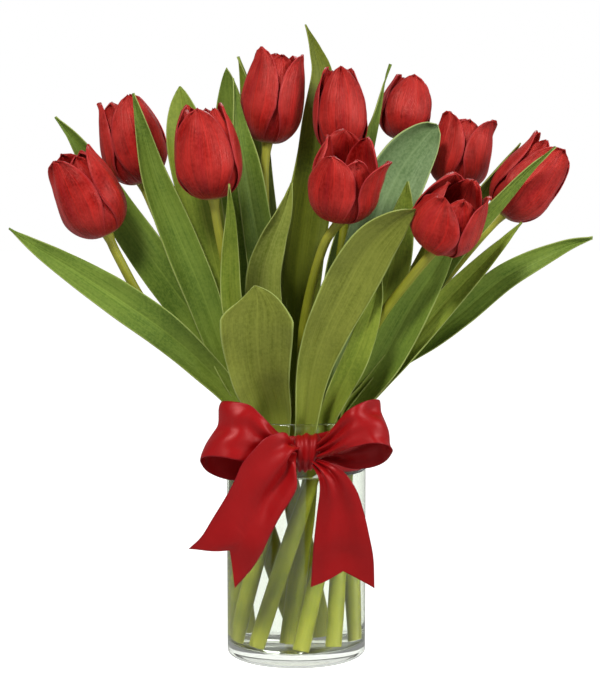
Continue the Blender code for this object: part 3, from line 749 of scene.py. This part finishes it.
def petal_sheet(length, radius, turn, half_angle, layer, shut, lean, seed, reach=1.0):
    """One petal, standing at the foot of its blossom's axis."""
    phase = petal_phase(seed)

    def place(along, across):
        out, height = petal_outline(along, length, radius, shut, lean, reach)
        out += petal_relief(along, across, radius, layer, seed)
        height += length * 0.02 * noise.noise(phase + Vector((across * 2.5, 8, 0))) * along
        angle = turn + petal_spread(along, half_angle, shut) * across
        return Vector((out * math.cos(angle), out * math.sin(angle), height))

    return swept_grid(PETAL_ROWS, PETAL_COLUMNS, place)


def stand_on(shape, base, axis, spin=0.0):
    """Turns a shape made about Z so that it points along axis, and sets it on base."""
    turn = Vector((0, 0, 1)).rotation_difference(Vector(axis)).to_matrix().to_4x4()
    bmesh.ops.transform(shape, matrix=Matrix.Translation(base) @ turn @ Matrix.Rotation(spin, 4, "Z"),
                        verts=shape.verts)


def blossom_base(stem_name, axis):
    """Where a blossom stands: a little way down into the top of its stem."""
    return Vector(STEMS[stem_name][-1]) * MM - Vector(axis).normalized() * 0.0004


petal_red = petal_material()

# Shut blossoms: stem, the way each points, length and width in millimetres, degrees turned, how far shut.
SHUT_BLOSSOMS = {
    "blossom_1": ("stem_1", (-0.42, -0.12, 0.90), 62, 46, -125, 0.42),
    "blossom_2": ("stem_2", (-0.25, 0.00, 0.97), 63, 46, -60, 0.42),
    "blossom_3": ("stem_3", (-0.12, -0.06, 0.99), 64, 46, -100, 0.46),
    "blossom_4": ("stem_4", (0.14, 0.02, 0.99), 65, 44, -20, 0.30),
    "blossom_5": ("stem_5", (-0.02, 0.02, 1.00), 62, 39, -84, 0.62),
    "blossom_7": ("stem_7", (0.20, 0.08, 0.97), 46, 38, -82, 0.56),
    "blossom_8": ("stem_8", (0.22, 0.05, 0.97), 53, 44, -30, 0.22),
    "blossom_10": ("stem_10", (0.62, 0.00, 0.78), 61, 44, -75, 0.34),
}
for count, (name, (stem_name, axis, length, width, spin, shut)) in enumerate(SHUT_BLOSSOMS.items()):
    for i in range(6):
        outer = i % 2 == 0
        seed = count * 7.3 + i * 1.7
        size = 1 + 0.05 * noise.noise(Vector((seed, 2, 3))) - (0.0 if outer else INNER_SHORTER)
        half_angle = OUTER_HALF_ANGLE if outer else INNER_HALF_ANGLE
        layer = PETAL_LAYER if outer else -PETAL_LAYER
        closed = shut + (0.0 if outer else INNER_TIGHTER)
        petal = petal_sheet(length * MM * size, width * MM / 2 - PETAL_INSET, math.tau * i / 6, half_angle,
                            layer, closed, 0.0, seed)
        stand_on(petal, blossom_base(stem_name, axis), axis, math.radians(spin))
        finish_piece(f"{name}_petal_{i + 1}", petal, petal_red, [name] if i == 0 else [],
                     thickness=PETAL_THICK)

# Open blossoms: stem, the way each points, length and radius in millimetres. Then, for each petal, its turn
# in degrees, half angle, how far shut, how far it leans out, its share of the length, and 1 for an outer
# petal or -1 for an inner one.
OPEN_BLOSSOMS = {
    "blossom_6": ("stem_6", (0.10, -0.22, 0.97), 57, 23, [
        (-120, 0.84, 0.20, 0.00, 0.84, 1), (-70, 0.60, 0.22, 0.00, 0.82, -1),
        (-30, 0.66, 0.00, 0.34, 0.86, 1), (42, 0.86, 0.26, 0.00, 1.00, -1),
        (100, 0.95, 0.34, 0.00, 1.04, 1), (165, 0.85, 0.40, 0.00, 1.00, -1)]),
    "blossom_9": ("stem_9", (0.30, -0.45, 0.84), 50, 23, [
        (-134, 1.04, 0.42, 0.00, 0.86, 1), (-72, 1.00, 0.52, 0.00, 0.90, -1),
        (-14, 1.00, 0.26, 0.00, 0.98, 1), (55, 0.95, 0.42, 0.00, 1.02, -1),
        (115, 1.00, 0.46, 0.00, 1.02, 1), (175, 1.00, 0.66, 0.00, 0.98, -1)]),
}
for count, (name, (stem_name, axis, length, radius, petals)) in enumerate(OPEN_BLOSSOMS.items()):
    for i, (turn, half_angle, shut, lean, reach, side) in enumerate(petals):
        petal = petal_sheet(length * MM, radius * MM, math.radians(turn), half_angle, side * OPEN_LAYER,
                            shut, lean, 50 + count * 9 + i * 1.3, reach)
        stand_on(petal, blossom_base(stem_name, axis), axis)
        finish_piece(f"{name}_petal_sheet_{i + 1}", petal, petal_red, [f"{name}_petal_{i + 1}"],
                     thickness=PETAL_THICK)


# The bow: one length of wide red satin ribbon, taken round the vase under its rim and tied in front. Its
# loops and tails are gathered where they go through the knot, and the tails are cut to a notch.
RIBBON_THICK = 0.0004
RIBBON_ROWS = 110
RIBBON_COLUMNS = 30
LOOP_GATHER = 0.0026
LOOP_WAVE = 0.0024
LOOP_FOLD = 0.0010
LOOP_DENT = 0.0028
TAIL_GATHER = 0.0024
TAIL_WAVE = 0.0042
TAIL_FLUTE = 0.0016
TAIL_CREASE = 0.0030
NOTCH_FROM = 0.70


def satin_material():
    made, tree, shader = shader_tree("red_satin")
    across, along = uv_parts(tree)
    off_centre = maths(tree, "ABSOLUTE", maths(tree, "SUBTRACT", across, 0.5))
    thread = streaks(tree, 3, 420, 1.0)
    selvage = mask(tree, off_centre, 0.472, 0.482)
    red = blend_colours(tree, (0.30, 0.001, 0.002), (0.42, 0.004, 0.006), blotches(tree, 45, 3.0))
    red = tinted(tree, red, (0.15, 0.0005, 0.001), thread, 0.4)
    red = tinted(tree, red, (0.24, 0.001, 0.006), selvage, 0.7)
    tree.links.new(red, shader.inputs["Base Color"])
    tree.links.new(mask(tree, thread, 0.2, 0.8, 0.36, 0.48), shader.inputs["Roughness"])
    shader.inputs["Specular IOR Level"].default_value = 0.60
    shader.inputs["Specular Tint"].default_value = (1.0, 0.42, 0.42, 1)
    shader.inputs["Anisotropic"].default_value = 0.6
    weave = add_node(tree, "ShaderNodeTangent", direction_type="UV_MAP", uv_map="UVMap")
    tree.links.new(weave.outputs["Tangent"], shader.inputs["Tangent"])
    shader.inputs["Sheen Weight"].default_value = 0.06
    shader.inputs["Sheen Roughness"].default_value = 0.3
    shader.inputs["Sheen Tint"].default_value = (1.0, 0.3, 0.36, 1)
    raise_surface(tree, shader, maths(tree, "ADD", thread, selvage), 0.00012, 0.5)
    return made


red_satin = satin_material()

# The two edges of each loop in millimetres, from the back of the knot out round the fold to its front.
LOOPS = {
    "ribbon_loop_left": (
        [(-3, -58, 148), (-21, -58, 139), (-39, -59, 136), (-52, -61, 138), (-62, -66, 144),
         (-65, -74, 152), (-60, -82, 156), (-48, -87, 156), (-34, -85, 153), (-18, -79, 151),
         (-1, -68, 151)],
        [(-3, -58, 159), (-23, -59, 169), (-38, -61, 178), (-47, -65, 187), (-49, -71, 191),
         (-42, -79, 193), (-31, -83, 191), (-22, -82, 183), (-13, -76, 173), (-1, -68, 163)]),
    "ribbon_loop_right": (
        [(17, -58, 149), (27, -58, 147), (38, -60, 144), (51, -62, 145), (61, -67, 150), (66, -77, 159),
         (61, -84, 164), (51, -88, 166), (38, -86, 163), (28, -79, 158), (15, -68, 152)],
        [(17, -58, 160), (28, -58, 168), (39, -59, 176), (51, -60, 185), (57, -63, 190), (54, -70, 193),
         (44, -79, 192), (34, -80, 186), (25, -76, 175), (15, -68, 164)]),
}

# The two edges of each tail in millimetres, from the knot down to its end, and how deep its notch is.
TAILS = {
    "ribbon_tail_left": (
        [(-2, -69, 163), (-8, -80, 172), (-20, -87, 170), (-29, -90, 161), (-36, -91, 152), (-41, -91, 141),
         (-48, -90, 128), (-56, -88, 114), (-64, -85, 101), (-73, -81, 92)],
        [(0, -69, 155), (-1, -78, 149), (0, -80, 141), (0, -80, 134), (-5, -80, 125), (-11, -80, 116),
         (-17, -79, 104), (-23, -77, 90), (-31, -75, 76), (-42, -72, 63)], 19),
    "ribbon_tail_right": (
        [(11, -69, 148), (15, -77, 141), (16, -78, 132), (14, -76, 115), (12, -72, 93), (10, -66, 62)],
        [(15, -70, 152), (25, -79, 150), (34, -82, 144), (41, -82, 133), (46, -79, 117), (50, -76, 100),
         (53, -72, 83), (54, -67, 61)], 13),
}


def strip(first_edge, second_edge, relief, seed):
    """Ribbon between its two edges, raised by relief(along, across, seed), and its mean length."""
    one = smooth_route(first_edge, RIBBON_ROWS)
    two = smooth_route(second_edge, RIBBON_ROWS)
    middle = [(a + b) / 2 for a, b in zip(one, two)]

    def place(along, across):
        row = round(along * RIBBON_ROWS)
        point = one[row].lerp(two[row], (across + 1) / 2)
        face = direction(middle, row).cross(two[row] - one[row]).normalized()
        return point + face * relief(along, across, seed)

    length = sum((b - a).length for a, b in zip(middle, middle[1:]))
    return swept_grid(RIBBON_ROWS, RIBBON_COLUMNS, place), length


def bump_at(place, centre, half_width):
    """1 at the centre, fading to nothing over a few half widths."""
    return math.exp(-(((place - centre) / half_width) ** 2))


def gathers(along, across, seed, pull):
    """Folds that fan out from the knot, a little flatter at the ribbon's edges."""
    return pull * math.cos(across * 9.0 + seed + 1.2 * along) * (1 - 0.35 * across * across)


def loop_relief(along, across, seed):
    """A loop is gathered at both ends, and soft and a little dented where it is open."""
    near_knot = abs(2 * along - 1) ** 2.2
    wave = LOOP_WAVE * noise.noise(Vector((seed * 3.1, along * 8, across * 1.7)))
    fold = LOOP_FOLD * math.cos(across * 4.6 + 5 * along + seed)
    dent = LOOP_DENT * bump_at(along, 0.70, 0.07) * bump_at(across, 0.35, 0.5)
    gathered = gathers(along, across, seed * 2.1, LOOP_GATHER)
    return gathered * near_knot + (wave + fold) * (1 - near_knot) - dent


def tail_relief(along, across, seed):
    """A tail is gathered at the knot and waves as it hangs. The left one is creased lengthwise as well."""
    near_knot = max(0.0, 1 - 2.4 * along) ** 1.3
    ridge = bump_at(across, 0.42, 0.22) - 0.8 * bump_at(across, 0.86, 0.2)
    crease = TAIL_CREASE * ridge * math.sin(math.pi * min(1.0, along * 1.7)) * (1 - seed)
    wave = TAIL_WAVE * noise.noise(Vector((seed * 2.3 + 7, along * 3, across * 0.9))) * min(1.0, 2 * along)
    flutes = TAIL_FLUTE * math.cos(across * 5.5 + 2.2 * along + seed) * (1 - 0.6 * along)
    return gathers(along, across, seed * 1.7, TAIL_GATHER) * near_knot + wave + flutes - crease


def cut_notch(shape, down, depth):
    """Draws the middle of a tail's end up into a swallow-tail notch."""
    uv = shape.loops.layers.uv.active
    moved = set()
    for loop in [loop for face in shape.faces for loop in face.loops]:
        if loop.vert in moved:
            continue
        moved.add(loop.vert)
        along = loop[uv].uv.y
        across = 2 * loop[uv].uv.x - 1
        pull = max(0.0, (along - NOTCH_FROM) / (1 - NOTCH_FROM)) * (1 - abs(across))
        loop.vert.co -= down * depth * pull


for seed, (name, (low_edge, top_edge)) in enumerate(LOOPS.items()):
    shape, length = strip(low_edge, top_edge, loop_relief, seed)
    loop_piece = finish_piece(f"{name}_satin", shape, red_satin, [name], thickness=RIBBON_THICK)

for seed, (name, (left_edge, right_edge, notch)) in enumerate(TAILS.items()):
    shape, length = strip(left_edge, right_edge, tail_relief, seed)
    ends = Vector(left_edge[-1]) - Vector(left_edge[-2]) + Vector(right_edge[-1]) - Vector(right_edge[-2])
    cut_notch(shape, ends.normalized(), notch * MM)
    tail_piece = finish_piece(f"{name}_satin", shape, red_satin, [name], thickness=RIBBON_THICK)


# The band: the ribbon's one turn round the vase, held to the glass by the pull of the knot. It is flat at
# the back, and drawn narrower and folded lengthwise under the knot.
BAND_LOW = 0.137
BAND_HIGH = 0.171
BAND_ROWS = 144
BAND_COLUMNS = 12
BAND_STAND_OFF = 0.0007
BAND_FOLD = 0.0009
BAND_BULGE = 0.0002
BAND_DRAWN_IN = 0.35


def closed_strip(rows, columns, place):
    """A sheet whose far end meets its near end, welded there."""
    shape = swept_grid(rows, columns, place)
    bmesh.ops.remove_doubles(shape, verts=shape.verts, dist=1e-6)
    bmesh.ops.recalc_face_normals(shape, faces=shape.faces)
    return shape


def band_place(along, across):
    turn = math.tau * along
    front = max(0.0, math.cos(turn)) ** 6
    fold = BAND_FOLD * front * math.cos(across * 9)
    bulge = BAND_BULGE * math.cos(across * 3 + 3 * turn)
    out = VASE_RADIUS + BAND_STAND_OFF + fold + abs(bulge)
    half_height = (BAND_HIGH - BAND_LOW) / 2 * (1 - BAND_DRAWN_IN * front)
    height = (BAND_LOW + BAND_HIGH) / 2 + half_height * across
    return Vector((-out * math.sin(turn), -out * math.cos(turn), height))


band_shape = closed_strip(BAND_ROWS, BAND_COLUMNS, band_place)
band = finish_piece("ribbon_band_satin", band_shape, red_satin, ["ribbon_band"],
                    thickness=RIBBON_THICK)


# The knot: a short wrap of ribbon over the middle of the bow, folded to half its width. It is pulled tight,
# which creases it along its length and tucks it in below.
KNOT = Vector((0.007, -0.0595, 0.155))
KNOT_ROWS = 72
KNOT_COLUMNS = 20
KNOT_HALF_WIDTH = 0.0078
KNOT_DEPTH = 0.0088
KNOT_HALF_HEIGHT = 0.0128
KNOT_CREASE = 0.0009
KNOT_SKEW = 0.0015


def knot_place(along, across):
    turn = math.tau * (along - 0.5)
    tuck = bump_at(turn, -0.75, 0.30)
    half_width = KNOT_HALF_WIDTH * (1 + 0.22 * math.sin(turn)) * (1 - 0.16 * tuck)
    depth = KNOT_DEPTH * (1 - 0.22 * tuck)
    crease = KNOT_CREASE * math.cos(across * 9 + 1.2 * math.sin(turn))
    round_edge = 1 - 0.28 * across**4
    y = -(depth + crease) * math.cos(turn) * round_edge
    z = (KNOT_HALF_HEIGHT + crease) * math.sin(turn) * round_edge
    return KNOT + Vector((half_width * across + KNOT_SKEW * math.sin(turn), y, z))


knot_shape = closed_strip(KNOT_ROWS, KNOT_COLUMNS, knot_place)
knot = finish_piece("ribbon_knot_satin", knot_shape, red_satin, ["ribbon_knot"],
                    thickness=RIBBON_THICK)
